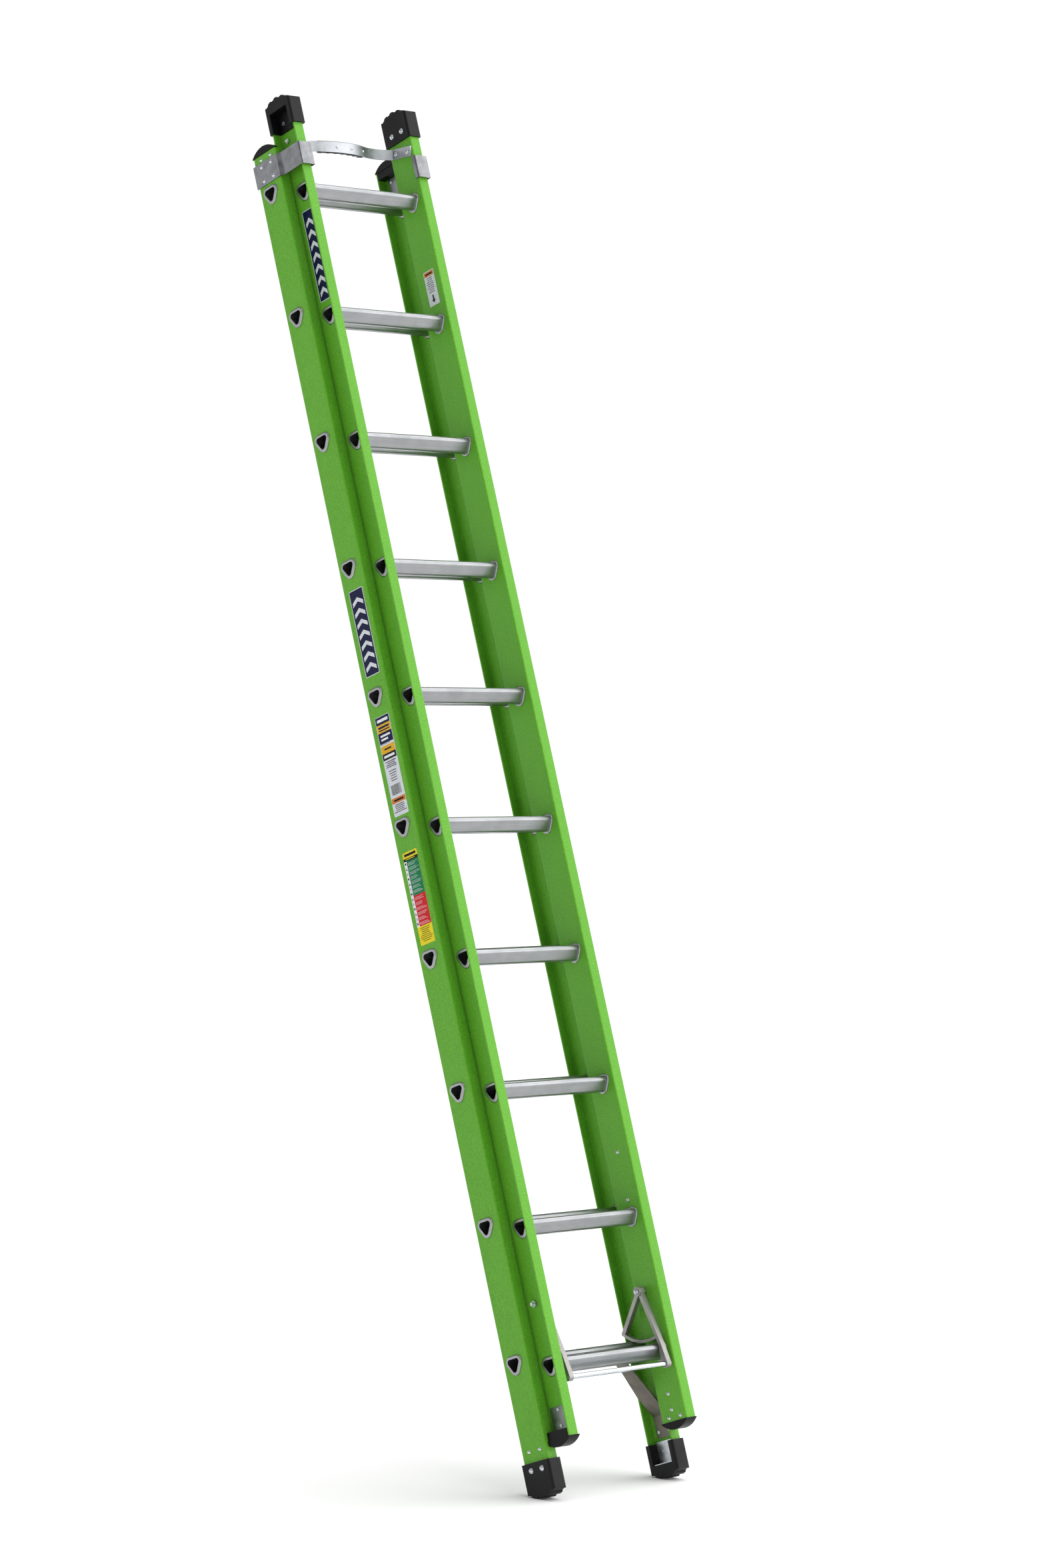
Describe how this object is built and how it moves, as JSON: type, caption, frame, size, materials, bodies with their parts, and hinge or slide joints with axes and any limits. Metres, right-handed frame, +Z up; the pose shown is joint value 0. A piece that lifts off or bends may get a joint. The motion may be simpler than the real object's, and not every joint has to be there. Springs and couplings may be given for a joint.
{
  "type": "extension ladder",
  "caption": "Leaning two-section fibreglass extension ladder: green channel rails, aluminium rungs, rubber feet and top boots, gravity rung locks and a curved pole strap.",
  "frame": {"origin": "on the floor, midway between the two feet, under the tread each foot stands on", "axes": "+Z up, +Y level from the climber's side towards the wall, +X along the rungs to the climber's right"},
  "size_m": [0.4112, 1.0496, 3.072],
  "materials": {
    "fibreglass": "satin",
    "rung_aluminium": "satin",
    "boot_rubber": "matte",
    "cap_plastic": "satin",
    "sheet_aluminium": "satin",
    "brace_aluminium": "satin",
    "zinc_steel": "satin",
    "strap_steel": "satin",
    "strap_rubber": "matte",
    "lock_casting": "satin",
    "rod_steel": "polished",
    "fastener_steel": "satin",
    "label_vinyl": "satin"
  },
  "bodies": {
    "base": {"base_cap_rivets": "fastener_steel", "base_end_cap_left": "cap_plastic", "base_end_cap_right": "cap_plastic", "base_foot_left": "boot_rubber", "base_foot_right": "boot_rubber", "base_rung_01": "rung_aluminium", "base_rung_02": "rung_aluminium", "base_rung_03": "rung_aluminium", "base_rung_04": "rung_aluminium", "base_rung_05": "rung_aluminium", "base_rung_06": "rung_aluminium", "base_rung_07": "rung_aluminium", "base_rung_08": "rung_aluminium", "base_rung_09": "rung_aluminium", "base_rung_10": "rung_aluminium", "base_stile_left": "fibreglass", "base_stile_right": "fibreglass", "base_top_plate_left": "sheet_aluminium", "base_top_plate_right": "sheet_aluminium", "bottom_brace_left": "brace_aluminium", "bottom_brace_right": "brace_aluminium", "brace_rivets": "fastener_steel", "bracket_rivets": "fastener_steel", "foot_plate_left": "zinc_steel", "foot_plate_right": "zinc_steel", "foot_rivets": "fastener_steel", "guide_bracket_left": "sheet_aluminium", "guide_bracket_right": "sheet_aluminium"},
    "fly": {"boot_rivets": "fastener_steel", "fly_bottom_plate_left": "sheet_aluminium", "fly_bottom_plate_right": "sheet_aluminium", "fly_end_cap_left": "cap_plastic", "fly_end_cap_right": "cap_plastic", "fly_rung_01": "rung_aluminium", "fly_rung_02": "rung_aluminium", "fly_rung_03": "rung_aluminium", "fly_rung_04": "rung_aluminium", "fly_rung_05": "rung_aluminium", "fly_rung_06": "rung_aluminium", "fly_rung_07": "rung_aluminium", "fly_rung_08": "rung_aluminium", "fly_rung_09": "rung_aluminium", "fly_rung_10": "rung_aluminium", "fly_stile_left": "fibreglass", "fly_stile_right": "fibreglass", "fly_top_boot_left": "boot_rubber", "fly_top_boot_right": "boot_rubber", "fly_web_rivets": "fastener_steel", "lock_nuts": "fastener_steel", "lock_pivot_bolts": "fastener_steel", "lock_spacers": "fastener_steel", "pole_strap": "strap_steel", "strap_bolts": "fastener_steel", "strap_nuts": "fastener_steel", "strap_pad": "strap_rubber", "strap_rivets": "fastener_steel"},
    "lock": {"lock_rod": "rod_steel", "rung_lock_left": "lock_casting", "rung_lock_right": "lock_casting"}
  },
  "joints": [
    {"name": "fly_slide", "type": "slide", "parent": "base", "child": "fly", "axis": [0, 0.304, 0.9527], "range_m": [0, 1.8]},
    {"name": "rung_lock", "type": "hinge", "parent": "fly", "child": "lock", "pos_m": [0, 0.0387, 0.40682], "axis": [1, 0, 0], "range_deg": [-26, 0]}
  ]
}
